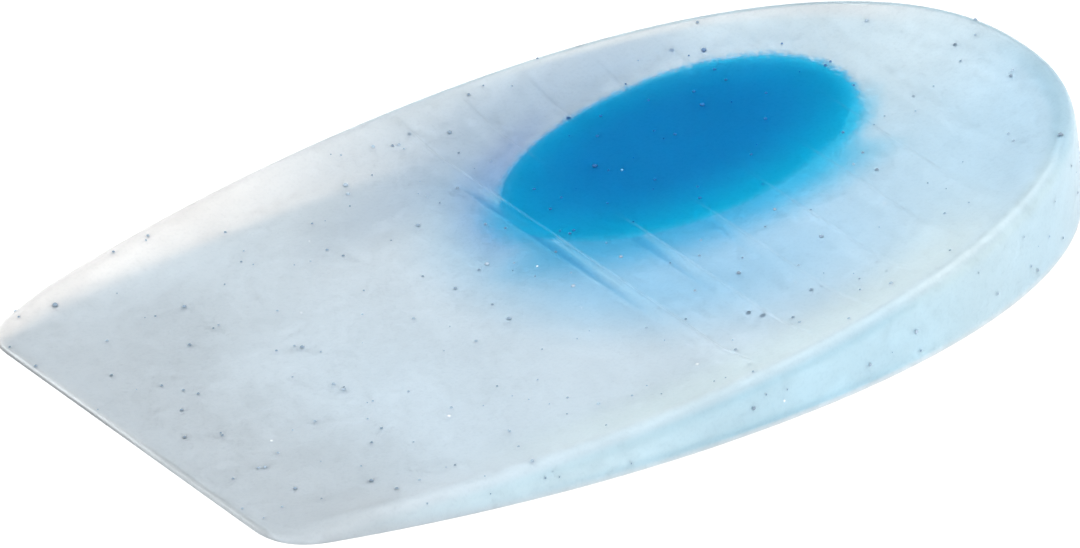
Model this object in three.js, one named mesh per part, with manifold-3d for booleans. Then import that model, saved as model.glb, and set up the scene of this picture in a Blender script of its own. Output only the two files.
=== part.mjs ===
// Heel cushion: a wedge of clear silicone, cupped on top to hold a heel, with low ribs across the cup and a
// softer blue spot let into it from below. Sizes are in millimetres. +X runs from the thin front edge to the
// heel, +Y to the side that the soft spot lies nearer, +Z up. The origin is the middle of the underside.
import * as THREE from "three";
import { mergeVertices } from "three/addons/utils/BufferGeometryUtils.js";
import Module from "manifold-3d";

const wasm = await Module();
wasm.setup();
const { smoothstep, clamp, degToRad } = THREE.MathUtils;

// Outline of the cushion, seen from above
const LENGTH = 105;
const WIDTH = 65;
const FRONT_WIDTH = 50;
const WIDEST_X = -6; // the sides flare up to here, and the heel's round begins
const SIDE_POWER = 1.95; // curve of the flare: 2 is a parabola
const HEEL_POWER = 2.23; // curve of the heel: 2 is an ellipse
const CORNER_RUN = 4.5; // length of each edge that a front corner's round takes
const FRONT_INSET_SHARE = 0.3; // an inset line moves in from the front edge by this share of the inset

// Heights above the underside
const FRONT_EDGE = 0.45; // thickness of the feathered front edge
const HEEL_RISE = 9.1; // what the rim gains from the front to the heel
const RISE_POWER = 1.23;
const LIP_RISE = 1.1; // the rim stands up by this much from the front edge
const LIP_RUN = 10; // within this distance of it
const CUP_DEPTH = 2.3; // of the cup's floor below the rim, at the heel

// Side wall and rim, from the underside up: inset from the outline, and height as a share of the rim's
const WALL_ROWS = [
  { inset: 0.5, share: 0 },
  { inset: 0, share: 0.07 },
  { inset: 0.25, share: 0.5 },
  { inset: 0.7, share: 0.85 },
  { inset: 1.2, share: 0.97 },
];
const CREST_INSET = 1.8;
const CUP_INSETS = [CREST_INSET, 2.8, 4, 5.5, 7, 9, 11, 14, 18, 22];
const BANK_RUN_FRONT = 6; // width of the bank between rim and floor, at the front
const BANK_RUN_HEEL = 11;

// Low ribs across the cup
const RIB_COUNT = 8;
const RIB_FIRST_X = -1.2;
const RIB_PITCH = 6.8;
const RIB_WIDTH = 1.6;
const RIB_HEIGHT = 0.3;
const RIB_BEVEL = 0.5; // the sloped part of its width, on each side
const RIB_ROOT = 1.4; // depth of its root in the body
const RIB_STEPS = 22;
const RIB_FADE = 4; // the last stretch at each end, where it runs out into the bank

// Soft spot: an oval plug that opens at the underside, below a skin of the clear body
const SPOT_CENTRE = new THREE.Vector2(17.6, 9.65);
const SPOT_HALF_LENGTH = 19.9;
const SPOT_HALF_WIDTH = 12.4;
const SPOT_TILT = degToRad(5); // of its long axis from +X
const SPOT_SKIN = 1.1;
const SPOT_GAP = 0.3; // between the plug and its pocket
const SPOT_POINTS = 55; // round it: an odd count, so that one lies on its long axis
const POCKET_FOOT = -1; // the pocket's cutter starts below the underside
const SPOT_ROWS = [
  { inset: 0, share: 0 },
  { inset: 0.2, share: 0.45 },
  { inset: 0.7, share: 0.8 },
  { inset: 1.6, share: 0.95 },
  { inset: 3.2, share: 1 },
  { inset: 7, share: 1 },
];

// Points along each stretch of half the outline
const CORNER_STEPS = 5;
const SIDE_STEPS = 16;
const HEEL_STEPS = 24;

const HALVINGS = 24;
const MERGE_DISTANCE = 1e-4;

const FRONT_X = -LENGTH / 2;
const HEEL_X = LENGTH / 2;

const CLEAR_SILICONE = new THREE.MeshStandardMaterial({
  color: 0xcfe2ee,
  roughness: 0.4,
  metalness: 0,
  transparent: true,
  opacity: 0.7,
});
const BLUE_SILICONE = new THREE.MeshStandardMaterial({ color: 0x0473b7, roughness: 0.5, metalness: 0 });

// Half the cushion's width at x, on the line that lies inset from its outline
function halfWidth(x, inset) {
  const widest = WIDTH / 2 - inset;
  if (x > WIDEST_X) {
    const share = (x - WIDEST_X) / (HEEL_X - inset - WIDEST_X);
    return widest * (1 - Math.min(share, 1) ** HEEL_POWER) ** (1 / HEEL_POWER);
  }
  const front = FRONT_X + inset * FRONT_INSET_SHARE;
  const flare = (WIDTH - FRONT_WIDTH) / 2;
  return widest - flare * ((WIDEST_X - x) / (WIDEST_X - front)) ** SIDE_POWER;
}

// The +Y half of the line that lies inset from the outline, from the front edge's corner to the heel
function halfOutline(inset) {
  const front = FRONT_X + inset * FRONT_INSET_SHARE;
  const run = Math.min(CORNER_RUN, halfWidth(front, inset) / 2);
  const corner = new THREE.QuadraticBezierCurve(
    new THREE.Vector2(front, halfWidth(front, inset) - run),
    new THREE.Vector2(front, halfWidth(front, inset)),
    new THREE.Vector2(front + run, halfWidth(front + run, inset)),
  );
  const points = corner.getPoints(CORNER_STEPS);
  for (let i = 1; i <= SIDE_STEPS; i++) {
    const x = THREE.MathUtils.lerp(front + run, WIDEST_X, i / SIDE_STEPS);
    points.push(new THREE.Vector2(x, halfWidth(x, inset)));
  }
  for (let i = 1; i <= HEEL_STEPS; i++) {
    const turn = (i / HEEL_STEPS) * (Math.PI / 2);
    const x = WIDEST_X + (HEEL_X - inset - WIDEST_X) * Math.sin(turn) ** (2 / HEEL_POWER);
    points.push(new THREE.Vector2(x, (WIDTH / 2 - inset) * Math.cos(turn) ** (2 / HEEL_POWER)));
  }
  points.at(-1).y = 0;
  return points;
}

// Share of the way from the front edge to the heel
function along(x) {
  return clamp((x - FRONT_X) / LENGTH, 0, 1);
}

function lip(x) {
  return LIP_RISE * smoothstep(x - FRONT_X, 0, LIP_RUN);
}

function rimHeight(x) {
  return FRONT_EDGE + lip(x) + HEEL_RISE * along(x) ** RISE_POWER;
}

// Height of the cup's surface at x, on the line that lies inset from the outline
function cupHeight(x, inset) {
  const depth = lip(x) + (CUP_DEPTH - LIP_RISE) * along(x);
  const run = THREE.MathUtils.lerp(BANK_RUN_FRONT, BANK_RUN_HEEL, along(x));
  const bank = (1 - clamp((inset - CREST_INSET) / run, 0, 1)) ** 2;
  return rimHeight(x) - depth * (1 - bank);
}

// The inset of the line through a point of the cup, found by halving
function insetAt(x, y) {
  let [low, high] = [0, FRONT_WIDTH / 2];
  for (let i = 0; i < HALVINGS; i++) {
    const middle = (low + high) / 2;
    if (halfWidth(x, middle) > Math.abs(y)) low = middle;
    else high = middle;
  }
  return low;
}

function topHeight(x, y) {
  return cupHeight(x, insetAt(x, y));
}

// A closed skin through rows of points that all have the same count, from the lowest row to the highest. Each
// row mirrors about its middle point, so the first and last rows are closed by strips between the two halves.
function loft(rows) {
  const count = rows[0].length;
  const positions = rows.flat().flatMap((point) => point.toArray());
  const faces = [];
  for (let r = 0; r + 1 < rows.length; r++) {
    for (let i = 0; i < count; i++) {
      const next = (i + 1) % count;
      const [a, b] = [r * count + i, r * count + next];
      faces.push(a, a + count, b, b, a + count, b + count);
    }
  }
  const last = (rows.length - 1) * count;
  const middle = (count - 1) / 2;
  for (let i = 0; i < middle; i++) {
    const mirrored = count - 1 - i;
    const strip = [[i, mirrored, i + 1]];
    if (i + 1 < middle) strip.push([i + 1, mirrored, mirrored - 1]);
    for (const [a, b, c] of strip) faces.push(c, b, a, last + a, last + b, last + c);
  }
  const geometry = new THREE.BufferGeometry();
  geometry.setAttribute("position", new THREE.Float32BufferAttribute(positions, 3));
  return geometry.setIndex(faces);
}

// A geometry as a solid that can be joined and cut, and back
function solidOf(geometry) {
  const bare = geometry.clone().deleteAttribute("normal").deleteAttribute("uv");
  const merged = mergeVertices(bare, MERGE_DISTANCE);
  return new wasm.Manifold(
    new wasm.Mesh({
      numProp: 3,
      vertProperties: merged.attributes.position.array,
      triVerts: new Uint32Array(merged.index.array),
    }),
  );
}

function geometryOf(solid) {
  const mesh = solid.getMesh();
  const geometry = new THREE.BufferGeometry();
  geometry.setAttribute("position", new THREE.BufferAttribute(mesh.vertProperties, 3));
  geometry.setIndex(new THREE.BufferAttribute(mesh.triVerts, 1));
  geometry.computeVertexNormals();
  return geometry;
}

// One closed line round the cushion at an inset, with its height from a function of x
function ring(inset, height) {
  const half = halfOutline(inset);
  const other = half.slice(0, -1).reverse();
  return [
    ...half.map((p) => new THREE.Vector3(p.x, p.y, height(p.x))),
    ...other.map((p) => new THREE.Vector3(p.x, -p.y, height(p.x))),
  ];
}

function wedge() {
  const wall = WALL_ROWS.map(({ inset, share }) => ring(inset, (x) => share * rimHeight(x)));
  const cup = CUP_INSETS.map((inset) => ring(inset, (x) => cupHeight(x, inset)));
  return solidOf(loft([...wall, ...cup]));
}

// A rib follows the cup's surface across the cushion and runs out into the bank at both ends
function rib(x) {
  const end = halfWidth(x, CREST_INSET);
  const upper = [];
  const lower = [];
  for (let i = 0; i <= RIB_STEPS; i++) {
    const y = THREE.MathUtils.lerp(-end, end, i / RIB_STEPS);
    const surface = topHeight(x, y);
    const fade = smoothstep(end - Math.abs(y), 0, RIB_FADE);
    upper.push(new THREE.Vector2(y, surface + RIB_HEIGHT * (2 * fade - 1)));
    lower.push(new THREE.Vector2(y, surface - RIB_ROOT));
  }
  const geometry = new THREE.ExtrudeGeometry(new THREE.Shape([...lower, ...upper.reverse()]), {
    depth: RIB_WIDTH - 2 * RIB_BEVEL,
    bevelThickness: RIB_BEVEL,
    bevelSize: RIB_HEIGHT,
    bevelOffset: -RIB_HEIGHT,
    bevelSegments: 1,
  });
  // The shape's x and y become the cushion's Y and Z, and its depth becomes X
  const turn = new THREE.Matrix4().makeBasis(
    new THREE.Vector3(0, 1, 0),
    new THREE.Vector3(0, 0, 1),
    new THREE.Vector3(1, 0, 0),
  );
  return solidOf(geometry.applyMatrix4(turn).translate(x - RIB_WIDTH / 2 + RIB_BEVEL, 0, 0));
}

// A point of the soft spot's oval, at a share of the way round it
function ovalPoint(share, inset) {
  const angle = Math.PI * (1 - 2 * share);
  const point = new THREE.Vector2(
    (SPOT_HALF_LENGTH - inset) * Math.cos(angle),
    (SPOT_HALF_WIDTH - inset) * Math.sin(angle),
  );
  return point.rotateAround(new THREE.Vector2(), SPOT_TILT).add(SPOT_CENTRE);
}

// The soft spot's plug, or the cutter of its pocket where grown is the gap between the two
function plug(grown, foot) {
  const rows = SPOT_ROWS.map(({ inset, share }) => {
    const points = [];
    for (let i = 0; i < SPOT_POINTS; i++) {
      const { x, y } = ovalPoint((i + 0.5) / SPOT_POINTS, inset - grown);
      const height = topHeight(x, y) - SPOT_SKIN + grown;
      points.push(new THREE.Vector3(x, y, share === 0 ? foot : share * height));
    }
    return points;
  });
  return solidOf(loft(rows));
}

function cushionBody() {
  let body = wedge();
  for (let i = 0; i < RIB_COUNT; i++) body = body.add(rib(RIB_FIRST_X + i * RIB_PITCH));
  return body.subtract(plug(SPOT_GAP, POCKET_FOOT));
}

function node(name, solid, material) {
  const mesh = new THREE.Mesh(geometryOf(solid), material);
  mesh.name = name;
  return mesh;
}

const cushion = new THREE.Group();
cushion.add(node("cushion_body", cushionBody(), CLEAR_SILICONE));
cushion.add(node("soft_spot", plug(0, 0), BLUE_SILICONE));

export default cushion;
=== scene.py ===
"""Looks of a heel cushion: a wedge of clear silicone, cupped and ribbed, with a soft blue spot inside.

Lengths are in metres. +X runs from the thin front edge to the heel, +Y to the side that the soft spot lies
nearer, and +Z up from the flat underside.
"""

import logging
import math
from collections.abc import Callable
from dataclasses import dataclass
from enum import Enum

import bpy
import numpy as np
from bpy.types import Material, Node, NodeSocket, NodeTree, Object
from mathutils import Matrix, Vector
from numpy.typing import NDArray

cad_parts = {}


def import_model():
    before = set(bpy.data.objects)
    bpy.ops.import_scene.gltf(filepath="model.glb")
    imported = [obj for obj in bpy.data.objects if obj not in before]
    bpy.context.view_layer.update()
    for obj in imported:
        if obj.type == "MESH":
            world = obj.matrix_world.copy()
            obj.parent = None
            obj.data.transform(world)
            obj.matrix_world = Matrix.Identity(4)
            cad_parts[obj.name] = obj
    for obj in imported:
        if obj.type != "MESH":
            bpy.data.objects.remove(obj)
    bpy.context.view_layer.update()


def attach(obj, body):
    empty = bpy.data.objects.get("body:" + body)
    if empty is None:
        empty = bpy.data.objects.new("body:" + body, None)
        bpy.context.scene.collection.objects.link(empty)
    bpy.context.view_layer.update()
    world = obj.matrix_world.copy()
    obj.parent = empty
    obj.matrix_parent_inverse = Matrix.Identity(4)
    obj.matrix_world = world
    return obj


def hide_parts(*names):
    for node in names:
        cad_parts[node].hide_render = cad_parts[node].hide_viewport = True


log = logging.getLogger("heel_cushion")

MM = 0.001
BODY = "root"
SHARP = math.radians(50)

Points = NDArray[np.float64]
Place = tuple[float, float, float]
Colour = tuple[float, float, float]
Row = tuple[float, float]
Faces = list[tuple[int, ...]]
Relief = Callable[[Points], Points]
Feed = float | int | tuple[float, ...] | NodeSocket
Feeds = dict[str | int, Feed]


def smooth(value: Points | float, low: float, high: float) -> Points:
    """Rises from 0 at low to 1 at high, level at both ends."""
    share = np.clip((np.asarray(value, dtype=float) - low) / (high - low), 0, 1)
    return share * share * (3 - 2 * share)


def smooth_rows(rows: tuple[Row, ...], steps: int) -> Points:
    """Draws a smooth line through the rows of a short table.

    Args:
        rows: One point of the line in each row.
        steps: How many steps each stretch between two rows is cut into.

    Returns:
        The points of the line, with the table's own rows among them.
    """
    table = np.array(rows)
    padded = np.vstack([2 * table[0] - table[1], table, 2 * table[-1] - table[-2]])
    line = []
    for before, start, end, after in zip(padded, padded[1:], padded[2:], padded[3:]):
        for t in np.arange(steps) / steps:
            bend = 2 * before - 5 * start + 4 * end - after
            twist = 3 * start - before - 3 * end + after
            line.append(start + 0.5 * t * (end - before + t * (bend + t * twist)))
    return np.array([*line, table[-1]])


def mirrored(half: Points) -> Points:
    """Closes the +Y half of a ring, which ends on the X axis, with its mirror image."""
    return np.vstack([half, half[-2::-1] * [1, -1, 1]])


def mesh_piece(name: str, points: Points, faces: Faces) -> Object:
    """Makes a smooth-shaded mesh object and links it to the scene.

    Args:
        name: The piece's name.
        points: Its points, one row each.
        faces: Its faces, as rows of point numbers.

    Returns:
        The new object.
    """
    mesh = bpy.data.meshes.new(name)
    mesh.from_pydata(points.tolist(), [], faces)
    mesh.validate()
    mesh.shade_smooth()
    mesh.set_sharp_from_angle(angle=SHARP)
    piece = bpy.data.objects.new(name, mesh)
    bpy.context.scene.collection.objects.link(piece)
    return piece


def ring_faces(rings: int, count: int) -> Faces:
    """Joins closed rings of points, stacked from the lowest up, with faces that point outward.

    Args:
        rings: How many rings there are.
        count: How many points each ring has, clockwise as seen from above.

    Returns:
        The faces between the rings.
    """
    faces = []
    for ring in range(rings - 1):
        for i in range(count):
            low, low_next = ring * count + i, ring * count + (i + 1) % count
            faces.append((low, low + count, low_next + count, low_next))
    return faces


def strips(ring: Points, start: int, total: int, columns: int) -> tuple[list[Points], Faces]:
    """Closes a ring with strips that run across it, from one half to the other.

    Args:
        ring: The ring's points, an odd number of them, the middle one where the two halves meet.
        start: The number of its first point.
        total: How many points there are already.
        columns: How many faces lie across each strip.

    Returns:
        The points added between the halves, and the faces, which point up.
    """
    count = len(ring)
    middle = (count - 1) // 2
    added, lines = [], []
    for i in range(middle):
        inner = np.linspace(ring[i], ring[count - 1 - i], columns + 1)[1:-1]
        lines.append([start + i, *range(total, total + len(inner)), start + count - 1 - i])
        total += len(inner)
        added.append(inner)
    faces = [(a, b, start + middle) for a, b in zip(lines[-1], lines[-1][1:])]
    for near, far in zip(lines, lines[1:]):
        faces += [(a, b, d, c) for a, b, c, d in zip(near, near[1:], far, far[1:])]
    return added, faces


def loft(name: str, rings: list[Points], columns: int, relief: Relief | None = None) -> Object:
    """Makes a closed piece from rings, stacked from its underside up to the middle of its top.

    Args:
        name: The piece's name.
        rings: Its rings, each with the same odd number of points.
        columns: How many faces lie across each strip that closes the top.
        relief: Gives what is added to the height of each point.

    Returns:
        The piece.
    """
    count = len(rings[0])
    total = len(rings) * count
    _, sole = strips(rings[0], 0, total, 1)
    added, top = strips(rings[-1], total - count, total, columns)
    faces = ring_faces(len(rings), count) + [face[::-1] for face in sole] + top
    points = np.vstack([*rings, *added])
    if relief:
        points[:, 2] += relief(points)
    return mesh_piece(name, points, faces)


class Wiring:
    """Adds nodes to one node tree and joins them."""

    def __init__(self, tree: NodeTree) -> None:
        """Works on the given node tree."""
        self.tree = tree

    def feed(self, socket: NodeSocket, feed: Feed) -> None:
        """Links an input to another node's output, or sets its value.

        Args:
            socket: The input.
            feed: An output socket, or a plain value.
        """
        if isinstance(feed, NodeSocket):
            self.tree.links.new(feed, socket)
        else:
            socket.default_value = feed

    def fill(self, node: Node, feeds: Feeds) -> None:
        """Feeds a node's inputs, by name or number."""
        for key, feed in feeds.items():
            self.feed(node.inputs[key], feed)

    def add(self, kind: str, feeds: Feeds | None = None, **settings: object) -> Node:
        """Adds a node.

        Args:
            kind: The node's type in Blender.
            feeds: What goes into its inputs, by name or number.
            **settings: The node's own settings.

        Returns:
            The new node.
        """
        node = self.tree.nodes.new(kind)
        for name, value in settings.items():
            setattr(node, name, value)
        self.fill(node, feeds or {})
        return node

    def place(self) -> NodeSocket:
        """Gives the place on the object, in metres."""
        return self.add("ShaderNodeTexCoord").outputs["Object"]

    def along(self) -> NodeSocket:
        """Gives the place's x, in metres."""
        return self.add("ShaderNodeSeparateXYZ", {"Vector": self.place()}).outputs["X"]

    def math(self, operation: str, first: Feed, second: Feed = 0.0) -> NodeSocket:
        """Adds a Math node for two numbers and gives its result."""
        return self.add("ShaderNodeMath", {0: first, 1: second}, operation=operation).outputs[0]

    def product(self, first: Feed, *others: Feed) -> NodeSocket:
        """Multiplies numbers together.

        Args:
            first: The first number.
            *others: The others.

        Returns:
            The result's socket.
        """
        for other in others:
            first = self.math("MULTIPLY", first, other)
        return first

    def vector(self, operation: str, first: Feed, second: Feed = (0.0, 0.0, 0.0)) -> Node:
        """Adds a Vector Math node for two vectors."""
        return self.add("ShaderNodeVectorMath", {0: first, 1: second}, operation=operation)

    def ramp(self, value: Feed, low: Feed, high: Feed) -> NodeSocket:
        """Adds a smooth rise of a value, from 0 at low to 1 at high."""
        feeds = {"Value": value, "From Min": low, "From Max": high}
        return self.add("ShaderNodeMapRange", feeds, interpolation_type="SMOOTHSTEP").outputs["Result"]

    def mix(self, share: Feed, first: Feed, second: Feed, blend: str = "MIX") -> NodeSocket:
        """Adds a mix of two colours.

        Args:
            share: How much of the second colour there is.
            first: The colour at a share of 0.
            second: The colour at a share of 1.
            blend: The Mix node's way of blending.

        Returns:
            The mixed colour's socket.
        """
        node = self.add("ShaderNodeMix", {0: share}, data_type="RGBA", blend_type=blend)
        for socket, feed in ((node.inputs[6], first), (node.inputs[7], second)):
            self.feed(socket, feed if isinstance(feed, NodeSocket) else (*feed, 1.0))
        return node.outputs[2]

    def shade(self, colour: Feed, value: NodeSocket) -> NodeSocket:
        """Multiplies a colour by a number."""
        grey = self.add("ShaderNodeCombineColor", {i: value for i in range(3)}).outputs[0]
        return self.mix(1.0, colour, grey, "MULTIPLY")

    def group(self, tree: NodeTree, feeds: Feeds) -> NodeSocket:
        """Places a node group and gives the one thing that it puts out."""
        return self.add("ShaderNodeGroup", feeds, node_tree=tree).outputs[0]


def new_group(
    name: str, inputs: dict[str, float | tuple[float, ...]], output: str
) -> tuple[Wiring, dict[str, NodeSocket], NodeSocket]:
    """Starts a shader node group that puts out one number.

    Args:
        name: The group's name.
        inputs: Each input's name and first value: a number, or a vector of three.
        output: The name of what it puts out.

    Returns:
        The group's wiring, its inputs by name, and the socket for what it puts out.
    """
    tree = bpy.data.node_groups.new(name, "ShaderNodeTree")
    for label, value in inputs.items():
        kind = "NodeSocketVector" if isinstance(value, tuple) else "NodeSocketFloat"
        tree.interface.new_socket(label, in_out="INPUT", socket_type=kind).default_value = value
    tree.interface.new_socket(output, in_out="OUTPUT", socket_type="NodeSocketFloat")
    wiring = Wiring(tree)
    given = wiring.add("NodeGroupInput")
    result = wiring.add("NodeGroupOutput")
    return wiring, {label: given.outputs[label] for label in inputs}, result.inputs[output]


class SiliconeEffects:
    """Effects that the finishes share, each a shader node group that is built once."""

    CLOUD_DETAIL = 3.0
    RAGGED_SCALE = 3000.0

    def __init__(self) -> None:
        """Builds the groups."""
        self.cloud = self._cloud()
        self.oval = self._oval()
        self.grain = self._grain()

    def _cloud(self) -> NodeTree:
        """Builds the soft unevenness of poured silicone, as a value round 1.

        Returns:
            The group.
        """
        wiring, given, result = new_group("silicone_cloud", {"Scale": 40.0, "Amount": 0.1}, "Value")
        feeds = {"Vector": wiring.place(), "Scale": given["Scale"], "Detail": self.CLOUD_DETAIL}
        noise = wiring.add("ShaderNodeTexNoise", feeds).outputs["Fac"]
        swing = wiring.math("MULTIPLY", wiring.math("SUBTRACT", noise, 0.5), given["Amount"])
        wiring.feed(result, wiring.math("ADD", swing, 1.0))
        return wiring.tree

    def _oval(self) -> NodeTree:
        """Builds the reach from an upright oval: 0 at its middle, 1 on its ragged outline, more outside.

        Returns:
            The group.
        """
        inputs = {"Centre": (0.0, 0.0, 0.0), "Half Size": (1.0, 1.0, 1.0), "Turn": 0.0, "Ragged": 0.0}
        wiring, given, result = new_group("oval_reach", inputs, "Reach")
        feeds = {"Vector": wiring.place(), "Scale": self.RAGGED_SCALE}
        noise = wiring.add("ShaderNodeTexNoise", feeds).outputs["Fac"]
        stray = wiring.math("MULTIPLY", wiring.math("SUBTRACT", noise, 0.5), given["Ragged"])
        feeds = {"Vector": wiring.place(), "Center": given["Centre"], "Angle": given["Turn"]}
        turned = wiring.add("ShaderNodeVectorRotate", feeds, rotation_type="Z_AXIS").outputs[0]
        offset = wiring.vector("SUBTRACT", turned, given["Centre"]).outputs[0]
        scaled = wiring.vector("DIVIDE", offset, given["Half Size"]).outputs[0]
        reach = wiring.vector("LENGTH", scaled).outputs["Value"]
        wiring.feed(result, wiring.math("ADD", reach, stray))
        return wiring.tree

    @staticmethod
    def _grain() -> NodeTree:
        """Builds the fine unevenness that a mould leaves on silicone, as a height.

        Returns:
            The group.
        """
        inputs = {"Ripple Scale": 300.0, "Grain Scale": 2500.0, "Grain Share": 0.3}
        wiring, given, result = new_group("mould_grain", inputs, "Height")
        where = wiring.place()
        ripple = wiring.add("ShaderNodeTexNoise", {"Vector": where, "Scale": given["Ripple Scale"]})
        grain = wiring.add("ShaderNodeTexNoise", {"Vector": where, "Scale": given["Grain Scale"]})
        fine = wiring.math("MULTIPLY", grain.outputs["Fac"], given["Grain Share"])
        wiring.feed(result, wiring.math("ADD", ripple.outputs["Fac"], fine))
        return wiring.tree


def new_material(name: str) -> tuple[Material, Wiring, Node]:
    """Starts a material with one Principled shader.

    Args:
        name: The material's name.

    Returns:
        The material, its wiring and its Principled node.
    """
    material = bpy.data.materials.new(name)
    material.use_nodes = True
    return material, Wiring(material.node_tree), material.node_tree.nodes["Principled BSDF"]


@dataclass(frozen=True)
class Outline:
    """The cushion's outline as seen from above, and the lines that lie inset from it."""

    length: float = 105 * MM
    width: float = 65 * MM
    front_width: float = 50 * MM
    widest_x: float = -6 * MM
    side_power: float = 1.95
    heel_power: float = 2.23
    corner_run: float = 4.5 * MM
    front_inset_share: float = 0.3
    corner_steps: int = 14
    side_steps: int = 150
    heel_steps: int = 450
    search_from: float = -5 * MM
    search_steps: int = 30

    @property
    def front_x(self) -> float:
        """The front edge's place."""
        return -self.length / 2

    @property
    def heel_x(self) -> float:
        """The heel's furthest point."""
        return self.length / 2

    def half_width(self, x: Points | float, inset: Points | float) -> Points:
        """Gives half the width of the line that lies inset from the outline, with sharp front corners.

        Args:
            x: Places along the cushion.
            inset: How far inside the outline.

        Returns:
            Half the width at each place.
        """
        widest = self.width / 2 - inset
        front = self.front_x + inset * self.front_inset_share
        flare = (self.width - self.front_width) / 2
        back = np.clip((self.widest_x - x) / (self.widest_x - front), 0, None)
        ahead = np.clip((x - self.widest_x) / (self.heel_x - inset - self.widest_x), 0, 1)
        heel = (1 - ahead**self.heel_power) ** (1 / self.heel_power)
        return np.where(x < self.widest_x, widest - flare * back**self.side_power, widest * heel)

    def half_line(self, inset: float) -> Points:
        """Draws the +Y half of the line that lies inset from the outline, from the front edge to the heel.

        Args:
            inset: How far inside the outline.

        Returns:
            Its points, in rows of x and y.
        """
        front = self.front_x + inset * self.front_inset_share
        corner = float(self.half_width(front, inset))
        run = min(self.corner_run, corner / 2)
        t = np.linspace(0, 1, self.corner_steps, endpoint=False)
        turn_x = front + t**2 * run
        turn_y = corner - (1 - t) ** 2 * run + t**2 * (self.half_width(front + run, inset) - corner)
        side_x = np.linspace(front + run, self.widest_x, self.side_steps, endpoint=False)
        angle = np.linspace(0, math.pi / 2, self.heel_steps)
        reach = self.heel_x - inset - self.widest_x
        heel_x = self.widest_x + reach * np.sin(angle) ** (2 / self.heel_power)
        heel_y = (self.width / 2 - inset) * np.clip(np.cos(angle), 0, 1) ** (2 / self.heel_power)
        heel_y[-1] = 0
        x = np.concatenate([turn_x, side_x, heel_x])
        return np.column_stack([x, np.concatenate([turn_y, self.half_width(side_x, inset), heel_y])])

    def inset_at(self, x: Points | float, y: Points | float) -> Points:
        """Finds how far inside the outline places lie.

        Args:
            x: Each place's x.
            y: Each place's y.

        Returns:
            The insets, below 0 for a place outside.
        """
        low = np.full(np.shape(x), self.search_from)
        high = np.full(np.shape(x), self.width / 2)
        for _ in range(self.search_steps):
            middle = (low + high) / 2
            within = (x < self.heel_x - middle) & (self.half_width(x, middle) > np.abs(y))
            low, high = np.where(within, middle, low), np.where(within, high, middle)
        return low


@dataclass(frozen=True)
class Cup:
    """The cupped top, without its ribs: its heights above the underside."""

    outline: Outline
    front_edge: float = 0.45 * MM
    heel_rise: float = 9.1 * MM
    rise_power: float = 1.23
    lip_rise: float = 1.1 * MM
    lip_run: float = 10 * MM
    depth: float = 2.3 * MM
    crest_inset: float = 1.8 * MM
    crest_ease: float = 0.12
    bank_run_front: float = 6 * MM
    bank_run_heel: float = 11 * MM

    def along(self, x: Points) -> Points:
        """Gives the share of the way from the front edge to the heel."""
        return np.clip((x - self.outline.front_x) / self.outline.length, 0, 1)

    def lip(self, x: Points) -> Points:
        """Gives how far the rim has risen from the front edge by itself."""
        return self.lip_rise * smooth(x, self.outline.front_x, self.outline.front_x + self.lip_run)

    def height(self, x: Points | float, inset: Points | float) -> Points:
        """Gives the height of the cup's surface, or of the rim's crest outside the cup.

        Args:
            x: Places along the cushion.
            inset: How far inside the outline.

        Returns:
            The height at each place.
        """
        along = self.along(x)
        rim = self.front_edge + self.lip(x) + self.heel_rise * along**self.rise_power
        depth = self.lip(x) + (self.depth - self.lip_rise) * along
        run = self.bank_run_front + (self.bank_run_heel - self.bank_run_front) * along
        down = (inset - self.crest_inset) / run
        eased = (down + np.hypot(down, self.crest_ease) - self.crest_ease) / 2
        bank = (1 - np.clip(eased, 0, 1)) ** 2
        return rim - depth * (1 - bank)


@dataclass(frozen=True)
class Within:
    """How far a form lies inside the cushion's outside."""

    margin: float = 0.0
    foot_margin: float = 0.0
    margin_share: float = 0.25
    rim_depth: float = 0.0
    floor_depth: float = 0.0
    most_share: float = 0.0
    deep_from: float = 1.8 * MM
    deep_at: float = 6 * MM
    foot: float = 0.0

    def side(self, share: float) -> float:
        """Gives how far inside the form's wall lies, at a share of its height."""
        eased = float(smooth(share, 0.0, self.margin_share))
        return self.foot_margin + (self.margin - self.foot_margin) * eased

    def top(self, height: Points, inset: float) -> Points:
        """Gives the form's own height under the cushion's top.

        Args:
            height: The heights of the cushion's top.
            inset: How far inside the outline they are.

        Returns:
            The form's heights.
        """
        deeper = smooth(inset, self.deep_from, self.deep_at)
        depth = self.rim_depth + (self.floor_depth - self.rim_depth) * deeper
        return height - np.minimum(depth, self.most_share * height)


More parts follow.
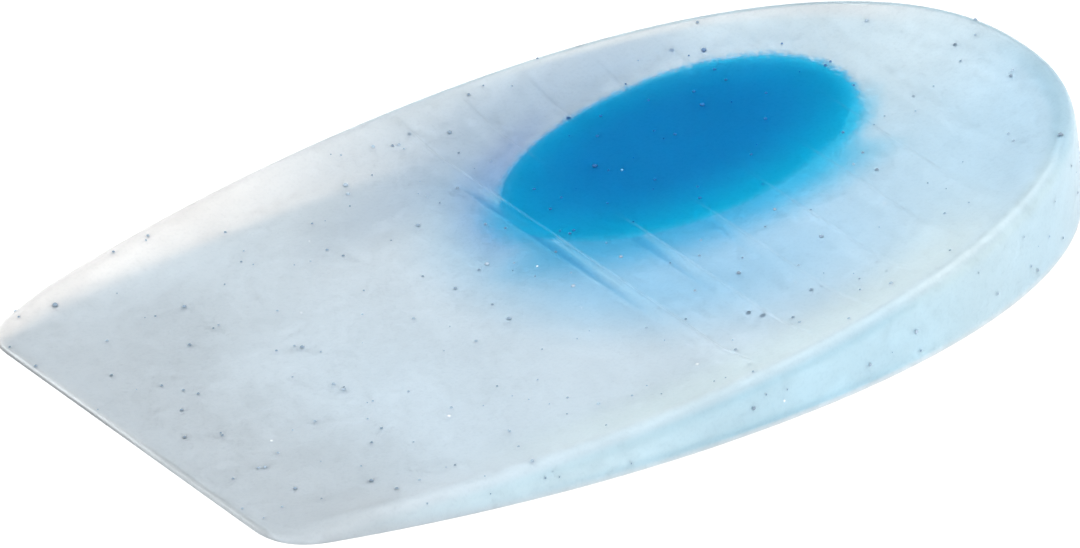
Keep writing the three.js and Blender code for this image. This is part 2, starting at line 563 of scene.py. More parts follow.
@dataclass(frozen=True)
class Wedge:
    """The cushion's closed form, in rings from the underside up the wall and over the rim into the cup."""

    outline: Outline
    cup: Cup
    # Each row gives the inset from the outline and the share of the rim's height.
    wall: tuple[Row, ...] = (
        (0.0, 0.0),
        (0.067 * MM, 0.16),
        (0.25 * MM, 0.5),
        (0.65 * MM, 0.82),
        (1.15 * MM, 0.955),
        (1.8 * MM, 1.0),
    )
    wall_steps: int = 3
    sole_inset: float = 2 * MM
    floor_inset: float = 13 * MM
    cup_rings: int = 25

    def ring(self, inset: float, share: float, within: Within) -> Points:
        """Draws one ring.

        Args:
            inset: How far inside the outline.
            share: Height as a share of the top's height there.
            within: How far the form lies inside the cushion's outside.

        Returns:
            The ring's points.
        """
        half = self.outline.half_line(inset + within.side(share))
        top = within.top(self.cup.height(half[:, 0], inset), inset)
        return mirrored(np.column_stack([half, within.foot + share * (top - within.foot)]))

    def rings(self, within: Within) -> list[Points]:
        """Draws all rings.

        Args:
            within: How far the form lies inside the cushion's outside.

        Returns:
            The rings, from the underside's middle up to the cup's.
        """
        wall = smooth_rows(self.wall, self.wall_steps)[:-1]
        cup = np.linspace(self.cup.crest_inset, self.floor_inset, self.cup_rings)
        rings = [self.ring(self.sole_inset, 0.0, within)]
        rings += [self.ring(inset, share, within) for inset, share in wall]
        return rings + [self.ring(inset, 1.0, within) for inset in cup]

    def wall_inset(self, share: float) -> float:
        """Gives how far inside the outline the wall's surface lies at a share of the rim's height."""
        insets, shares = np.array(self.wall).T
        return float(np.interp(share, shares, insets))


class Reading(Enum):
    """What tells where a coat of paint lies."""

    X = "x"
    Y = "y"
    Z = "z"
    UPRIGHT = "how far the surface faces up"
    INSET = "distance inside the outline"
    SLANT = "distance inside the outline, less towards the heel"
    # The glow is painted blue light on the near wall, a bluer patch round the glow place.
    GLOW = "distance from the bright place on the wall"
    FAR_SHADE = "reach from the dim oval on the far bank"
    # The blue haze is painted blue light round the soft spot.
    BLUE_LIGHT = "reach from the blue haze's oval"
    DEEP = "reach from the oval where the blue is deepest"
    SPOT = "reach from the soft spot's oval"
    RING = "reach from the oval of the blue ring round the spot"
    SOFT = "share of the way into the spot's soft near edge"
    BEYOND = "distance past the spot's middle, to the far side"
    NEARER = "distance past the spot's middle, to the near side"
    AHEAD = "distance past the spot's middle, to the heel's far side"
    BEHIND = "distance past the spot's middle, to the front's far side"
    RIB = "distance past the nearest rib's crest, to the heel"
    RIBBED = "1 where there are ribs"


class Blend(Enum):
    """How a coat of paint takes what is below it."""

    COVER = "MIX"
    DARKEN = "MULTIPLY"


Readings = dict[Reading, NodeSocket]


@dataclass(frozen=True)
class Span:
    """A stretch of a reading, from where a coat of paint starts to where it is full."""

    by: Reading
    start: float
    end: float


@dataclass(frozen=True)
class Coat:
    """A coat of paint, which lies where all its spans do."""

    name: str
    colour: "Colour | Paint"
    where: tuple[Span, ...]
    blend: Blend
    share: float = 1.0


@dataclass(frozen=True)
class Paint:
    """A ground colour and the coats over it, in order."""

    ground: Colour
    coats: tuple[Coat, ...]

    def laid(self, wiring: Wiring, readings: Readings) -> NodeSocket:
        """Lays the coats.

        Args:
            wiring: The material's wiring.
            readings: The readings that the coats go by.

        Returns:
            The painted colour's socket.
        """
        tint = self.ground
        for coat in self.coats:
            spans = [wiring.ramp(readings[span.by], span.start, span.end) for span in coat.where]
            colour = coat.colour
            if isinstance(colour, Paint):
                colour = colour.laid(wiring, readings)
            tint = wiring.mix(wiring.product(*spans, coat.share), tint, colour, coat.blend.value)
            tint.node.label = coat.name
        return tint


def layers(ground: Colour, *coats: Coat) -> Paint:
    """Makes a paint from its ground and the coats over it."""
    return Paint(ground, coats)


def mm(by: Reading, start: float, end: float) -> Span:
    """Makes a span of a reading that is a length, from millimetres."""
    return Span(by, start * MM, end * MM)


def cover(name: str, colour: Colour | Paint, *where: Span, share: float = 1.0) -> Coat:
    """Makes a coat that hides what is below it."""
    return Coat(name, colour, where, Blend.COVER, share)


def darken(name: str, colour: Colour | Paint, *where: Span) -> Coat:
    """Makes a coat that darkens what is below it, by multiplying; here mostly painted shade and painted
    blue light.
    """
    return Coat(name, colour, where, Blend.DARKEN)


@dataclass(frozen=True)
class SpotPlace:
    """Where the soft spot lies in the cushion, as seen from above."""

    x: float = 17.6 * MM
    y: float = 9.65 * MM
    half_length: float = 19.9 * MM
    half_width: float = 12.4 * MM
    tilt: float = math.radians(5)
    ragged: float = 0.12
    far_way: Row = (0.2, 0.98)
    near_way: Row = (-0.135, -0.99)

    def reach(self, x: Points, y: Points) -> Points:
        """Gives how far places lie from the spot's middle, as shares of the way to its outline."""
        turned = (x - self.x + 1j * (y - self.y)) * np.exp(-1j * self.tilt)
        return np.hypot(turned.real / self.half_length, turned.imag / self.half_width)

    def oval(self, shift: Row = (0.0, 0.0), grow: Row = (1.0, 1.0), ragged: float = 0.0) -> Feeds:
        """Gives what the node group for the reach from an oval takes.

        Args:
            shift: How far the oval is moved from the spot, in x and y.
            grow: How many times as long and as wide it is.
            ragged: How far its outline strays.

        Returns:
            The group's inputs.
        """
        return {
            "Centre": (self.x + shift[0], self.y + shift[1], 0.0),
            "Half Size": (self.half_length * grow[0], self.half_width * grow[1], 1.0),
            "Turn": -self.tilt,
            "Ragged": ragged,
        }

    def past(self, wiring: Wiring, way: Row) -> NodeSocket:
        """Gives how far places lie past the spot's middle, in a direction of x and y."""
        offset = wiring.vector("SUBTRACT", wiring.place(), (self.x, self.y, 0.0)).outputs[0]
        return wiring.vector("DOT_PRODUCT", offset, (*way, 0.0)).outputs["Value"]

    def readings(self, wiring: Wiring, effects: SiliconeEffects) -> Readings:
        """Gives the readings that go by the spot alone.

        Args:
            wiring: The material's wiring.
            effects: The node groups that the finishes share.

        Returns:
            The readings.
        """
        return {
            Reading.SPOT: wiring.group(effects.oval, self.oval(ragged=self.ragged)),
            Reading.BEYOND: self.past(wiring, self.far_way),
            Reading.NEARER: self.past(wiring, self.near_way),
        }


@dataclass(frozen=True)
class Ribs:
    """The low ribs across the cup, each with a long slope to the front and a short one to the heel."""

    cup: Cup
    spot: SpotPlace
    count: int = 8
    first_x: float = -1.2 * MM
    pitch: float = 6.9 * MM
    front_run: float = 1.6 * MM
    heel_run: float = 0.6 * MM
    height: float = 0.13 * MM
    first_height: float = 0.34 * MM
    fall: float = 0.55
    fade: float = 5 * MM
    lowest: float = 1 * MM
    over_spot: float = 0.12
    over_spot_reach: float = 0.8

    def relief(self, points: Points) -> Points:
        """Gives what the ribs add to the height of points of the cushion.

        Args:
            points: The points, in rows of x, y and z.

        Returns:
            The ribs' height at each point, which is 0 on the underside and the wall.
        """
        x, y, z = points.T
        nearest = np.clip(np.round((x - self.first_x) / self.pitch), 0, self.count - 1)
        offset = x - self.first_x - nearest * self.pitch
        share = np.clip(np.maximum(-offset / self.front_run, offset / self.heel_run), 0, 1)
        profile = 0.5 + 0.5 * np.cos(math.pi * share)
        height = self.height + (self.first_height - self.height) * self.fall**nearest
        crest = self.cup.crest_inset
        ends = smooth(self.cup.outline.inset_at(x, y), crest, crest + self.fade)
        clear = smooth(self.spot.reach(x, y), self.over_spot_reach, 1.0)
        beside = self.over_spot + (1 - self.over_spot) * clear
        return np.where(z > self.lowest, height * profile * ends * beside, 0)


@dataclass(frozen=True)
class Mottle:
    """Soft patches in a finish, as a share of its value round 1."""

    scale: float
    amount: float

    def share(self, wiring: Wiring, effects: SiliconeEffects) -> NodeSocket:
        """Gives the share that each place keeps."""
        return wiring.group(effects.cloud, {"Scale": self.scale, "Amount": self.amount})


@dataclass(frozen=True)
class MouldGrain:
    """The ripples and fine grain that a mould leaves on silicone."""

    ripple_scale: float
    grain_scale: float
    grain_share: float
    depth: float

    def press(self, wiring: Wiring, effects: SiliconeEffects, shader: Node) -> None:
        """Bumps a surface.

        Args:
            wiring: The material's wiring.
            effects: The node groups that the finishes share.
            shader: The surface's shader.
        """
        scales = {"Ripple Scale": self.ripple_scale, "Grain Scale": self.grain_scale}
        height = wiring.group(effects.grain, scales | {"Grain Share": self.grain_share})
        bump = wiring.add("ShaderNodeBump", {"Height": height, "Distance": self.depth})
        wiring.feed(shader.inputs["Normal"], bump.outputs["Normal"])


@dataclass(frozen=True)
class ClearSilicone:
    """The clear outside of the silicone, slightly frosted by its mould."""

    tint: Colour = (0.985, 0.99, 0.995)
    roughness: float = 0.3
    ior: float = 1.41
    fleck: Mottle = Mottle(2800.0, 0.4)
    patch: Mottle = Mottle(220.0, 0.25)
    grain: MouldGrain = MouldGrain(350.0, 2200.0, 0.25, 0.03 * MM)

    def material(self, effects: SiliconeEffects) -> Material:
        """Makes the finish.

        Args:
            effects: The node groups that the finishes share.

        Returns:
            The material.
        """
        material, wiring, shader = new_material("clear_silicone")
        fleck = self.fleck.share(wiring, effects)
        patch = self.patch.share(wiring, effects)
        roughness = wiring.math("MULTIPLY", patch, self.roughness)
        wiring.fill(shader, {"Base Color": wiring.shade(self.tint, fleck), "Roughness": roughness})
        wiring.fill(shader, {"Transmission Weight": 1.0, "IOR": self.ior})
        self.grain.press(wiring, effects, shader)
        return material


@dataclass(frozen=True)
class MilkySiliconeAndPaintedLight:
    """The milky depth of the silicone, greyer at the front and bluer at the heel and by the soft spot,
    under painted light and shade.
    """

    outline: Outline
    spot: SpotPlace
    ribs: Ribs
    heel: Paint = layers((0.67, 0.865, 0.985), cover("far heel", (0.77, 0.9, 0.965), mm(Reading.Y, -8, 10)))
    # Painted light at the wall's foot: along the side its lowest half millimetre is painted near white; at
    # the front it stays grey.
    foot: Paint = layers((0.66, 0.7, 0.73), cover("side foot", (0.95, 0.98, 1.0), mm(Reading.X, -40, -24)))
    wall: Paint = layers(
        (0.66, 0.73, 0.78),
        cover("side", (0.74, 0.92, 1.0), mm(Reading.X, -50, -28)),
        cover("heel", (0.67, 0.87, 0.97), mm(Reading.X, 24, 38)),
        # Painted blue light: a bluer patch low on the near wall, where the soft spot's light would spread.
        darken("glow", (0.9, 0.97, 1.0), mm(Reading.GLOW, 30, 6)),
        # The wall's foot, with painted light along the side.
        cover("foot", foot, mm(Reading.Z, 0.55, 0.05)),
    )
    far_half: Span = mm(Reading.Y, -8, 6)
    # Painted shade on the front face: darker grey, less dark on its far half, with a painted contact shadow
    # along the foot of that half.
    front_edge: Paint = layers(
        (0.58, 0.63, 0.66),
        cover("far half", (0.72, 0.77, 0.8), far_half),
        cover("foot line", (0.38, 0.41, 0.43), mm(Reading.Z, 0.17, 0.1), far_half),
    )
    # Painted shade for the crest on the near side, lighter and warmer between about 22 and 38 mm.
    by_heel: tuple[Span, ...] = (mm(Reading.X, 11, 22), mm(Reading.X, 44, 38))
    near_crest_shade: Paint = layers((0.82, 0.9, 0.925), cover("by the heel", (0.98, 0.96, 0.925), *by_heel))
    to_heel: Span = mm(Reading.X, 10, 34)
    ring: Paint = layers((0.1, 0.5, 0.82), cover("heel end", (0.01, 0.55, 0.88), to_heel))
    edge: Paint = layers((0.1, 0.56, 0.88), cover("heel end", (0.04, 0.64, 0.94), to_heel))
    on_top: Span = Span(Reading.UPRIGHT, 0.1, 0.4)
    by_spot: tuple[Span, ...] = (
        Span(Reading.RIBBED, 0.0, 1.0),
        Span(Reading.SPOT, 2.1, 1.3),
        mm(Reading.X, 22, -4),
        mm(Reading.BEYOND, 6, 0),
        on_top,
    )
    paint: Paint = layers(
        (0.7, 0.77, 0.82),
        cover("middle", (0.79, 0.905, 0.985), mm(Reading.X, -48, -26)),
        cover("heel", heel, mm(Reading.X, -10, 40)),
        darken(
            "far side", (0.96, 0.935, 0.92),
            mm(Reading.Y, -10, 16), mm(Reading.X, -46, -28), mm(Reading.X, 34, 16),
        ),
        cover("wall", wall, Span(Reading.UPRIGHT, 0.75, 0.35)),
        # The front face, with its painted shade and painted contact shadow.
        cover("front edge", front_edge, mm(Reading.X, -51.7, -51.95)),
        # Painted light: the bank on the near side is painted lighter, as the dark part of the dome leaves
        # it short of light.
        cover(
            "near bank", (0.83, 0.965, 1.0), mm(Reading.INSET, 11, 4), mm(Reading.Y, -4, -12),
            mm(Reading.X, -36, -12), mm(Reading.X, 38, 24), mm(Reading.INSET, 0.8, 3.5),
        ),
        # Painted shade on the crest on the near side, which keeps it from showing a bright line.
        darken(
            "near crest", near_crest_shade, mm(Reading.INSET, 2.2, 1.6),
            Span(Reading.UPRIGHT, 0.2, 0.42), mm(Reading.Y, 8, -8), mm(Reading.X, -50, -2),
        ),
        darken(
            "far shade", (0.77, 0.83, 0.9),
            Span(Reading.FAR_SHADE, 1.2, 0.3), mm(Reading.INSET, 1.5, 2.4),
        ),
        # Painted light: the crest on the far side, from the middle towards the heel, is painted paler, as a
        # lit rim.
        cover(
            "far crest", (0.86, 0.93, 0.965),
            mm(Reading.INSET, 2.6, 1.9), mm(Reading.Y, 8, 16), mm(Reading.X, 2, 24), on_top,
        ),
        # Painted highlight: the far bank towards the front is painted nearly white, as a bright light's
        # gloss on it.
        cover(
            "far bank", (1.0, 0.995, 0.985),
            mm(Reading.SLANT, 9.6, 7.4), mm(Reading.X, 4, -26), mm(Reading.Y, 0, 8),
        ),
        # Painted blue light: a blue cast round the soft spot, reaching furthest on its near side, for the
        # spot's light and coloured shadow spread through the silicone.
        darken(
            "haze", (0.54, 0.82, 0.98),
            Span(Reading.BLUE_LIGHT, 1.36, 0.72), mm(Reading.AHEAD, 4, -6), mm(Reading.X, 38, -4),
        ),
        # Painted shade: a purple-blue shade just outside the soft spot's far left edge.
        darken(
            "violet", (0.76, 0.81, 0.95),
            Span(Reading.SPOT, 1.4, 1.05), mm(Reading.BEHIND, 11.5, 16.5),
        ),
        cover("ring", ring, Span(Reading.RING, 1.055, 0.985), mm(Reading.BEYOND, -8, -2)),
        cover("soft edge", edge, Span(Reading.SOFT, 0.0, 1.0), mm(Reading.BEYOND, 4, -4)),
        darken(
            "rib shade", (0.5, 0.74, 0.84),
            mm(Reading.RIB, -0.95, -0.6), mm(Reading.RIB, 0.5, -0.6), *by_spot,
        ),
        # Painted highlight: a pale line on each rib's heel side beside the soft spot, after the painted rib
        # shade on its front slope.
        cover(
            "rib line", (0.58, 0.87, 1.0),
            mm(Reading.RIB, 0.3, 0.45), mm(Reading.RIB, 0.8, 0.55), *by_spot, share=0.35,
        ),
    )
    slant: float = 0.11
    # Where the painted blue light on the near wall is strongest.
    glow_place: Place = (4 * MM, -33 * MM, 0.0)
    shade_place: Place = (9 * MM, 23.5 * MM, 0.0)
    shade_size: Place = (29 * MM, 6.5 * MM, 1.0)
    shade_turn: float = math.radians(-12)
    # The oval of the painted blue light round the spot, moved to its near side and stretched.
    blue_light_shift: Row = (-5.5 * MM, -7.5 * MM)
    blue_light_grow: Row = (1.08, 1.62)
    ring_shift: Row = (0.12 * MM, -0.25 * MM)
    ahead_way: Row = (0.58, 0.81)
    behind_way: Row = (-0.75, 0.66)
    edge_inner: float = 1.0
    edge_outer: float = 1.21
    edge_wider: float = 0.34
    edge_wider_from: float = 7 * MM
    edge_wider_to: float = 11.5 * MM
    cloud: Mottle = Mottle(70.0, 0.3)
    fleck: Mottle = Mottle(900.0, 0.32)
    roughness: float = 0.6

    def material(self, effects: SiliconeEffects) -> Material:
        """Makes the finish.

        Args:
            effects: The node groups that the finishes share.

        Returns:
            The material.
        """
        material, wiring, shader = new_material("milky_silicone")
        tint = self.paint.laid(wiring, self._readings(wiring, effects))
        for mottle in (self.cloud, self.fleck):
            tint = wiring.shade(tint, mottle.share(wiring, effects))
        wiring.fill(shader, {"Base Color": tint, "Roughness": self.roughness, "Specular IOR Level": 0.0})
        return material

    def _readings(self, wiring: Wiring, effects: SiliconeEffects) -> Readings:
        """Gives the readings that the paint goes by.

        Args:
            wiring: The material's wiring.
            effects: The node groups that the finishes share.

        Returns:
            The readings.
        """
        x, y, z = wiring.add("ShaderNodeSeparateXYZ", {"Vector": wiring.place()}).outputs
        normal = wiring.add("ShaderNodeTexCoord").outputs["Normal"]
        inset = self._inset(wiring, x, y)
        dim = {"Centre": self.shade_place, "Half Size": self.shade_size, "Turn": self.shade_turn}
        ring = self.spot.oval(self.ring_shift, ragged=self.spot.ragged)
        readings = self.spot.readings(wiring, effects) | {
            Reading.X: x,
            Reading.Y: y,
            Reading.Z: z,
            Reading.UPRIGHT: wiring.add("ShaderNodeSeparateXYZ", {"Vector": normal}).outputs["Z"],
            Reading.INSET: inset,
            Reading.SLANT: wiring.math("SUBTRACT", inset, wiring.math("MULTIPLY", x, self.slant)),
            Reading.GLOW: wiring.vector("DISTANCE", wiring.place(), self.glow_place).outputs["Value"],
            Reading.FAR_SHADE: wiring.group(effects.oval, dim),
            Reading.BLUE_LIGHT: wiring.group(effects.oval, self.spot.oval(self.blue_light_shift, self.blue_light_grow)),
            Reading.RING: wiring.group(effects.oval, ring),
            Reading.AHEAD: self.spot.past(wiring, self.ahead_way),
            Reading.BEHIND: self.spot.past(wiring, self.behind_way),
        }
        wider = wiring.ramp(readings[Reading.NEARER], self.edge_wider_from, self.edge_wider_to)
        outer = wiring.math("ADD", wiring.math("MULTIPLY", wider, self.edge_wider), self.edge_outer)
        into = wiring.math("SUBTRACT", outer, readings[Reading.SPOT])
        whole = wiring.math("SUBTRACT", outer, self.edge_inner)
        readings[Reading.SOFT] = wiring.math("DIVIDE", into, whole)
        pitch = self.ribs.pitch
        start = wiring.math("SUBTRACT", x, self.ribs.first_x - pitch / 2)
        within = wiring.math("FLOORED_MODULO", start, pitch)
        readings[Reading.RIB] = wiring.math("SUBTRACT", within, pitch / 2)
        readings[Reading.RIBBED] = wiring.math("GREATER_THAN", start, 0.0)
        return readings

    def _inset(
        self, wiring: Wiring, x: NodeSocket, y: NodeSocket
    ) -> NodeSocket:
        """Gives about how far inside the outline each place lies.

        Args:
            wiring: The material's wiring.
            x: The place's x.
            y: The place's y.

        Returns:
            The distance's socket.
        """
        outline = self.outline
        past = wiring.math("SUBTRACT", x, outline.widest_x)
        ends = (outline.front_x - outline.widest_x, outline.heel_x - outline.widest_x)
        shares = [wiring.math("DIVIDE", past, run) for run in ends]
        to_front, to_heel = (wiring.math("MAXIMUM", share, 0.0) for share in shares)
        across = wiring.math("DIVIDE", wiring.math("ABSOLUTE", y), outline.width / 2)
        power = outline.heel_power
        both = wiring.math("ADD", wiring.math("POWER", to_heel, power), wiring.math("POWER", across, power))
        within = wiring.math("SUBTRACT", 1.0, wiring.math("POWER", both, 1 / power))
        flare = (outline.width - outline.front_width) / 2
        narrowed = wiring.math("MULTIPLY", wiring.math("POWER", to_front, outline.side_power), flare)
        return wiring.math("SUBTRACT", wiring.math("MULTIPLY", within, outline.width / 2), narrowed)


@dataclass(frozen=True)
class BlueSilicone:
    """Blue silicone, deep in the spot's middle and along its far side, and paler at its near side."""

    spot: SpotPlace
    to_heel: Span = mm(Reading.X, 10, 34)
    rim: Paint = layers((0.04, 0.46, 0.79), cover("heel end", (0.01, 0.57, 0.9), to_heel))
    paint: Paint = layers(
        (0.0, 0.285, 0.655),
        cover("sides", (0.0, 0.79, 1.0), Span(Reading.DEEP, 0.5, 2.29)),
        cover("rim", rim, Span(Reading.SPOT, 0.9, 1.02), mm(Reading.BEYOND, -8, -2)),
        cover(
            "near edge", (0.15, 0.6, 0.92),
            Span(Reading.SPOT, 0.89, 1.12), mm(Reading.NEARER, 5, 9.5),
        ),
    )
    deep_shift: Row = (0.5 * MM, 1.6 * MM)
    deep_grow: Row = (0.85, 0.76)
    cloud: Mottle = Mottle(120.0, 0.2)
    grain: MouldGrain = MouldGrain(500.0, 2500.0, 0.3, 0.02 * MM)
    roughness: float = 0.6

    def material(self, effects: SiliconeEffects) -> Material:
        """Makes the finish.

        Args:
            effects: The node groups that the finishes share.

        Returns:
            The material.
        """
        material, wiring, shader = new_material("blue_silicone")
        readings = self.spot.readings(wiring, effects) | {
            Reading.X: wiring.along(),
            Reading.DEEP: wiring.group(effects.oval, self.spot.oval(self.deep_shift, self.deep_grow)),
        }
        tint = wiring.shade(self.paint.laid(wiring, readings), self.cloud.share(wiring, effects))
        wiring.fill(shader, {"Base Color": tint, "Roughness": self.roughness, "Specular IOR Level": 0.0})
        self.grain.press(wiring, effects, shader)
        return material


class BubbleKind(Enum):
    """How a trapped bubble shows in the silicone."""

    DARK = "dark"
    FAINT = "faint"
    PALE = "pale"


@dataclass(frozen=True)
class BubbleFinish:
    """The skin of a bubble trapped in the silicone, bluer over the soft spot."""

    kind: BubbleKind
    spot: SpotPlace
    colour: Colour
    over_spot: Colour
    over_spot_from: float = 1.2
    over_spot_to: float = 0.9
    cloud: Mottle = Mottle(900.0, 0.9)
    roughness: float = 0.5

    def material(self, effects: SiliconeEffects) -> Material:
        """Makes the finish.

        Args:
            effects: The node groups that the finishes share.

        Returns:
            The material.
        """
        material, wiring, shader = new_material(f"{self.kind.value}_bubble")
        reach = wiring.group(effects.oval, self.spot.oval())
        over = wiring.ramp(reach, self.over_spot_from, self.over_spot_to)
        tint = wiring.mix(over, self.colour, self.over_spot)
        tint = wiring.shade(tint, self.cloud.share(wiring, effects))
        wiring.fill(shader, {"Base Color": tint, "Roughness": self.roughness})
        return material


@dataclass
class CushionBody:
    """The cushion's clear outside, with its ribs."""

    wedge: Wedge
    ribs: Ribs
    columns: int = 14
    piece: Object | None = None

    def build(self) -> None:
        """Makes the mesh."""
        self.piece = loft("clear_cushion", self.wedge.rings(Within()), self.columns, self.ribs.relief)

    def dress(self, finish: ClearSilicone, effects: SiliconeEffects) -> None:
        """Gives the mesh its finish and its place in the frame.

        Args:
            finish: The silicone.
            effects: The node groups that the finishes share.
        """
        self.piece.data.materials.append(finish.material(effects))
        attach(self.piece, BODY)
        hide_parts("cushion_body")


@dataclass
class MilkyCore:
    """The milkiness that shows a little below the cushion's clear outside."""

    wedge: Wedge
    within: Within = Within(
        margin=0.35 * MM,
        foot_margin=0.03 * MM,
        rim_depth=0.35 * MM,
        floor_depth=1.25 * MM,
        most_share=0.45,
        foot=0.012 * MM,
    )
    columns: int = 14
    piece: Object | None = None

    def build(self) -> None:
        """Makes the mesh."""
        self.piece = loft("milky_core", self.wedge.rings(self.within), self.columns)

    def dress(self, finish: MilkySiliconeAndPaintedLight, effects: SiliconeEffects) -> None:
        """Gives the mesh its finish and its place in the frame.

        Args:
            finish: The silicone, with its painted light and shade.
            effects: The node groups that the finishes share.
        """
        self.piece.data.materials.append(finish.material(effects))
        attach(self.piece, BODY)


@dataclass
class SoftSpot:
    """The oval of blue silicone inside the cushion."""

    cup: Cup
    place: SpotPlace
    skin: float = 1.1 * MM
    foot: float = 0.005 * MM
    # Each row gives the inset from the spot's oval and the share of its height.
    rows: tuple[Row, ...] = (
        (0.3 * MM, 0.0),
        (0.0, 0.06),
        (0.05 * MM, 0.5),
        (0.2 * MM, 0.9),
        (0.5 * MM, 0.98),
        (1.2 * MM, 1.0),
        (3.2 * MM, 1.0),
        (7.0 * MM, 1.0),
        (10.9 * MM, 1.0),
    )
    row_steps: int = 4
    around: int = 241
    columns: int = 2
    piece: Object | None = None

    def ring(self, inset: float, share: float) -> Points:
        """Draws one line round the spot.

        Args:
            inset: How far inside the spot's oval.
            share: Height as a share of the spot's.

        Returns:
            The ring's points, clockwise as seen from above.
        """
        angle = math.pi * (1 - 2 * (np.arange(self.around) + 0.5) / self.around)
        along = (self.place.half_length - inset) * np.cos(angle)
        across = (self.place.half_width - inset) * np.sin(angle)
        x = self.place.x + along * math.cos(self.place.tilt) - across * math.sin(self.place.tilt)
        y = self.place.y + along * math.sin(self.place.tilt) + across * math.cos(self.place.tilt)
        top = self.cup.height(x, self.cup.outline.inset_at(x, y)) - self.skin
        return np.column_stack([x, y, self.foot + share * (top - self.foot)])

    def build(self) -> None:
        """Makes the mesh."""
        rings = [self.ring(inset, share) for inset, share in smooth_rows(self.rows, self.row_steps)]
        self.piece = loft("blue_spot", rings, self.columns)

    def dress(self, finish: BlueSilicone, effects: SiliconeEffects) -> None:
        """Gives the mesh its finish and its place in the frame.

        Args:
            finish: The silicone.
            effects: The node groups that the finishes share.
        """
        self.piece.data.materials.append(finish.material(effects))
        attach(self.piece, BODY)
        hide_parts("soft_spot")


@dataclass
class TrappedBubbles:
    """Small bubbles scattered just under the silicone's surface, joined into one mesh."""

    wedge: Wedge
    finish: BubbleFinish
    count: int
    seed: int
    radius: float = 0.17 * MM
    spread: float = 0.3
    largest: float = 0.3 * MM
    sunk: float = 0.6
    least_inset: float = 1.5 * MM
    least_height: float = 1.5
    wall_share: float = 0.2
    wall_from: float = 0.15
    wall_to: float = 0.8
    segments: int = 10
    piece: Object | None = None

    def on_top(self, draw: np.random.Generator, radius: float) -> Place | None:
        """Draws a place in the cup or on the rim.

        Args:
            draw: Where the random numbers come from.
            radius: The bubble's radius.

        Returns:
            The bubble's middle, or None if the place drawn lies outside.
        """
        outline = self.wedge.outline
        x = draw.uniform(outline.front_x, outline.heel_x)
        y = draw.uniform(-outline.width / 2, outline.width / 2)
        inset = float(outline.inset_at(x, y))
        if inset < self.least_inset:
            return None
        return x, y, float(self.wedge.cup.height(x, inset)) - self.sunk * radius

    def on_wall(self, draw: np.random.Generator, radius: float) -> Place:
        """Draws a place on the side wall.

        Args:
            draw: Where the random numbers come from.
            radius: The bubble's radius.

        Returns:
            The bubble's middle.
        """
        share = draw.uniform(self.wall_from, self.wall_to)
        half = self.wedge.outline.half_line(self.wedge.wall_inset(share) + self.sunk * radius)
        x, y = half[int(draw.integers(len(half)))]
        return float(x), float(y * draw.choice([-1, 1])), float(self.wedge.cup.height(x, 0.0)) * share

    def places(self) -> Points:
        """Draws the bubbles' places and sizes.

        Returns:
            Rows of x, y, z and radius.
        """
        draw = np.random.default_rng(self.seed)
        found = []
        while len(found) < self.count:
            radius = min(self.radius * math.exp(draw.normal(0, self.spread)), self.largest)
            on_wall = draw.random() < self.wall_share
            place = self.on_wall(draw, radius) if on_wall else self.on_top(draw, radius)
            if place and place[2] > self.least_height * radius:
                found.append((*place, radius))
        return np.array(found)

    def build(self) -> None:
        """Makes the mesh."""
        polar = np.linspace(0, math.pi, self.segments // 2 + 1)[1:-1]
        turn = np.linspace(0, 2 * math.pi, self.segments, endpoint=False)
        down, way = (grid.ravel() for grid in np.meshgrid(polar, turn, indexing="ij"))
        belts = np.column_stack([np.sin(down) * np.cos(way), np.sin(down) * np.sin(way), np.cos(down)])
        ball = np.vstack([(0, 0, 1), belts, (0, 0, -1)])
        faces = [tuple(1 + i for i in face) for face in ring_faces(len(polar), self.segments)]
        last = len(ball) - 1
        low = last - self.segments
        for i in range(self.segments):
            after = (i + 1) % self.segments
            faces += [(0, 1 + i, 1 + after), (last, low + after, low + i)]
        points, all_faces = [], []
        for x, y, z, radius in self.places():
            start = len(points) * len(ball)
            points.append(ball * radius + [x, y, z])
            all_faces += [tuple(start + i for i in face) for face in faces]
        self.piece = mesh_piece(f"{self.finish.kind.value}_bubbles", np.vstack(points), all_faces)

    def dress(self, effects: SiliconeEffects) -> None:
        """Gives the mesh its finish and its place in the frame.

        Args:
            effects: The node groups that the finishes share.
        """
        self.piece.data.materials.append(self.finish.material(effects))
        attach(self.piece, BODY)


@dataclass(frozen=True)
class Softbox:
    """A square lamp that faces the cushion."""

    name: str
    direction: Place
    distance: float
    size: float
    power: float

    def build(self) -> None:
        """Makes the lamp."""
        lamp = bpy.data.lights.new(self.name, "AREA")
        lamp.size = self.size
        lamp.energy = self.power
        piece = bpy.data.objects.new(self.name, lamp)
        direction = Vector(self.direction).normalized()
        piece.location = direction * self.distance
        piece.rotation_euler = direction.to_track_quat("Z", "Y").to_euler()
        bpy.context.scene.collection.objects.link(piece)


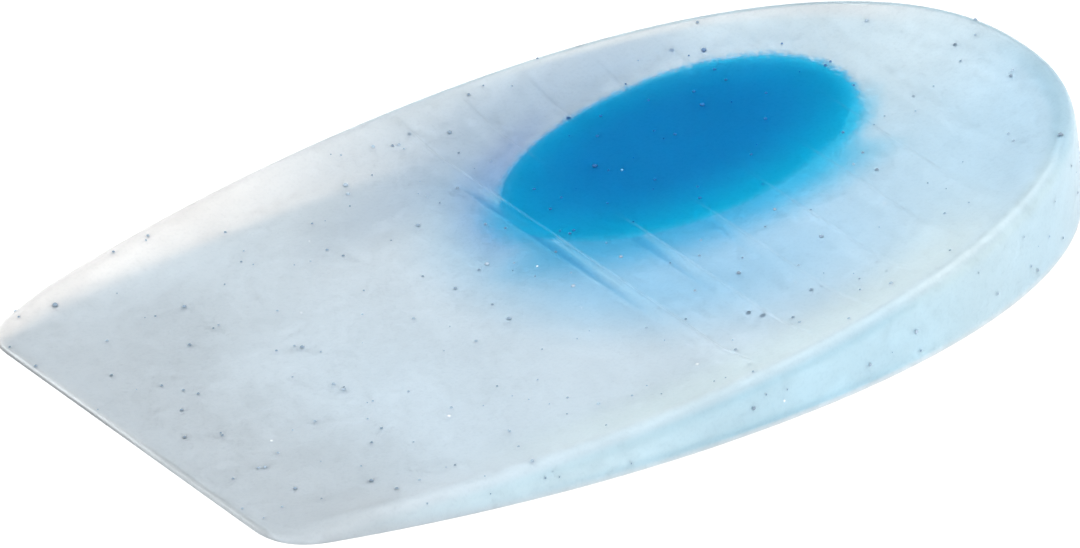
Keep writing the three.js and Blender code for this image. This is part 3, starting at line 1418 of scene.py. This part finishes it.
@dataclass
class Studio:
    """The pale floor, the soft light and the camera at the photograph's angle."""

    floor_size: float = 12.0
    floor_drop: float = 0.005 * MM
    floor_glow: float = 0.25
    floor_roughness: float = 0.9
    floor_colour: Colour = (0.9, 0.9, 0.9)
    azimuth: float = -35.466
    elevation: float = 28.925
    distance: float = 1500 * MM
    target: Place = (-3.38 * MM, 2.947 * MM, 0.794 * MM)
    lens: float = 526.58
    sensor: float = 36.0
    sky: float = 0.88
    card: float = 0.0
    card_towards: Place = (0.508, 0.713, 0.484)
    card_edge: float = math.radians(45)
    card_full: float = math.radians(25)
    card_foot: float = 0.12
    card_rise: float = 0.3
    lamps: tuple[Softbox, ...] = (
        Softbox("key", (0.56, 0.0, 0.83), 1.1, 0.85, 6.0),
        Softbox("fill", (-0.55, -0.75, 0.4), 1.5, 1.2, 6.0),
        Softbox("back", (-0.45, 0.8, 0.36), 1.2, 0.7, 5.0),
    )

    def build_floor(self) -> None:
        """Makes the floor."""
        half = self.floor_size / 2
        corners = np.array([[-half, -half, 0], [half, -half, 0], [half, half, 0], [-half, half, 0]])
        floor = mesh_piece("floor", corners - [0, 0, self.floor_drop], [(0, 1, 2, 3)])
        material, wiring, shader = new_material("pale_floor")
        colour = (*self.floor_colour, 1.0)
        wiring.fill(shader, {"Roughness": self.floor_roughness, "Specular IOR Level": 0.0})
        wiring.fill(shader, {"Base Color": colour, "Emission Color": colour})
        wiring.fill(shader, {"Emission Strength": self.floor_glow})
        floor.data.materials.append(material)

    def build_light(self) -> None:
        """Makes the softboxes and a pale dome, dark where the cup would mirror it to the camera."""
        scene = bpy.context.scene
        scene.world = bpy.data.worlds.new("studio")
        scene.world.use_nodes = True
        wiring = Wiring(scene.world.node_tree)
        direction = wiring.add("ShaderNodeTexCoord").outputs["Generated"]
        facing = wiring.vector("DOT_PRODUCT", direction, self.card_towards).outputs["Value"]
        up = wiring.add("ShaderNodeSeparateXYZ", {"Vector": direction}).outputs["Z"]
        dark = wiring.product(
            wiring.ramp(facing, math.cos(self.card_edge), math.cos(self.card_full)),
            wiring.ramp(up, self.card_foot, self.card_rise),
            self.sky - self.card,
        )
        background = scene.world.node_tree.nodes["Background"]
        background.inputs["Color"].default_value = (1, 1, 1, 1)
        wiring.feed(background.inputs["Strength"], wiring.math("SUBTRACT", self.sky, dark))
        for lamp in self.lamps:
            lamp.build()
        scene.view_settings.view_transform = "Standard"

    def build_camera(self) -> None:
        """Makes the camera."""
        azimuth, elevation = math.radians(self.azimuth), math.radians(self.elevation)
        level = math.cos(elevation)
        back = Vector((math.sin(azimuth) * level, -math.cos(azimuth) * level, math.sin(elevation)))
        data = bpy.data.cameras.new("camera")
        data.lens = self.lens
        data.sensor_width = self.sensor
        camera = bpy.data.objects.new("camera", data)
        camera.location = Vector(self.target) + back * self.distance
        camera.rotation_euler = back.to_track_quat("Z", "Y").to_euler()
        bpy.context.scene.collection.objects.link(camera)
        bpy.context.scene.camera = camera


def main() -> None:
    """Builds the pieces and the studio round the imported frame."""
    logging.basicConfig(level=logging.INFO, format="%(name)s: %(message)s")
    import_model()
    studio = Studio()
    studio.build_camera()
    studio.build_floor()
    studio.build_light()
    outline = Outline()
    cup = Cup(outline)
    wedge = Wedge(outline, cup)
    place = SpotPlace()
    ribs = Ribs(cup, place)
    effects = SiliconeEffects()
    body = CushionBody(wedge, ribs)
    body.build()
    body.dress(ClearSilicone(), effects)
    core = MilkyCore(wedge)
    core.build()
    core.dress(MilkySiliconeAndPaintedLight(outline, place, ribs), effects)
    spot = SoftSpot(cup, place)
    spot.build()
    spot.dress(BlueSilicone(place), effects)
    pieces = [body.piece, core.piece, spot.piece]
    dark = BubbleFinish(BubbleKind.DARK, place, (0.25415, 0.34191, 0.43415), (0.0, 0.11444, 0.32778))
    faint = BubbleFinish(BubbleKind.FAINT, place, (0.40198, 0.50289, 0.60383), (0.0, 0.15593, 0.42869))
    pale = BubbleFinish(BubbleKind.PALE, place, (0.95597, 0.97345, 1.0), (0.18782, 0.57758, 0.87137))
    for bubbles in (
        TrappedBubbles(wedge, dark, count=130, seed=7),
        TrappedBubbles(wedge, faint, count=190, seed=9, radius=0.15 * MM),
        TrappedBubbles(wedge, pale, count=14, seed=8),
    ):
        bubbles.build()
        bubbles.dress(effects)
        pieces.append(bubbles.piece)
    for piece in pieces:
        log.info("%s has %d faces", piece.name, len(piece.data.polygons))


if __name__ == "__main__":
    main()
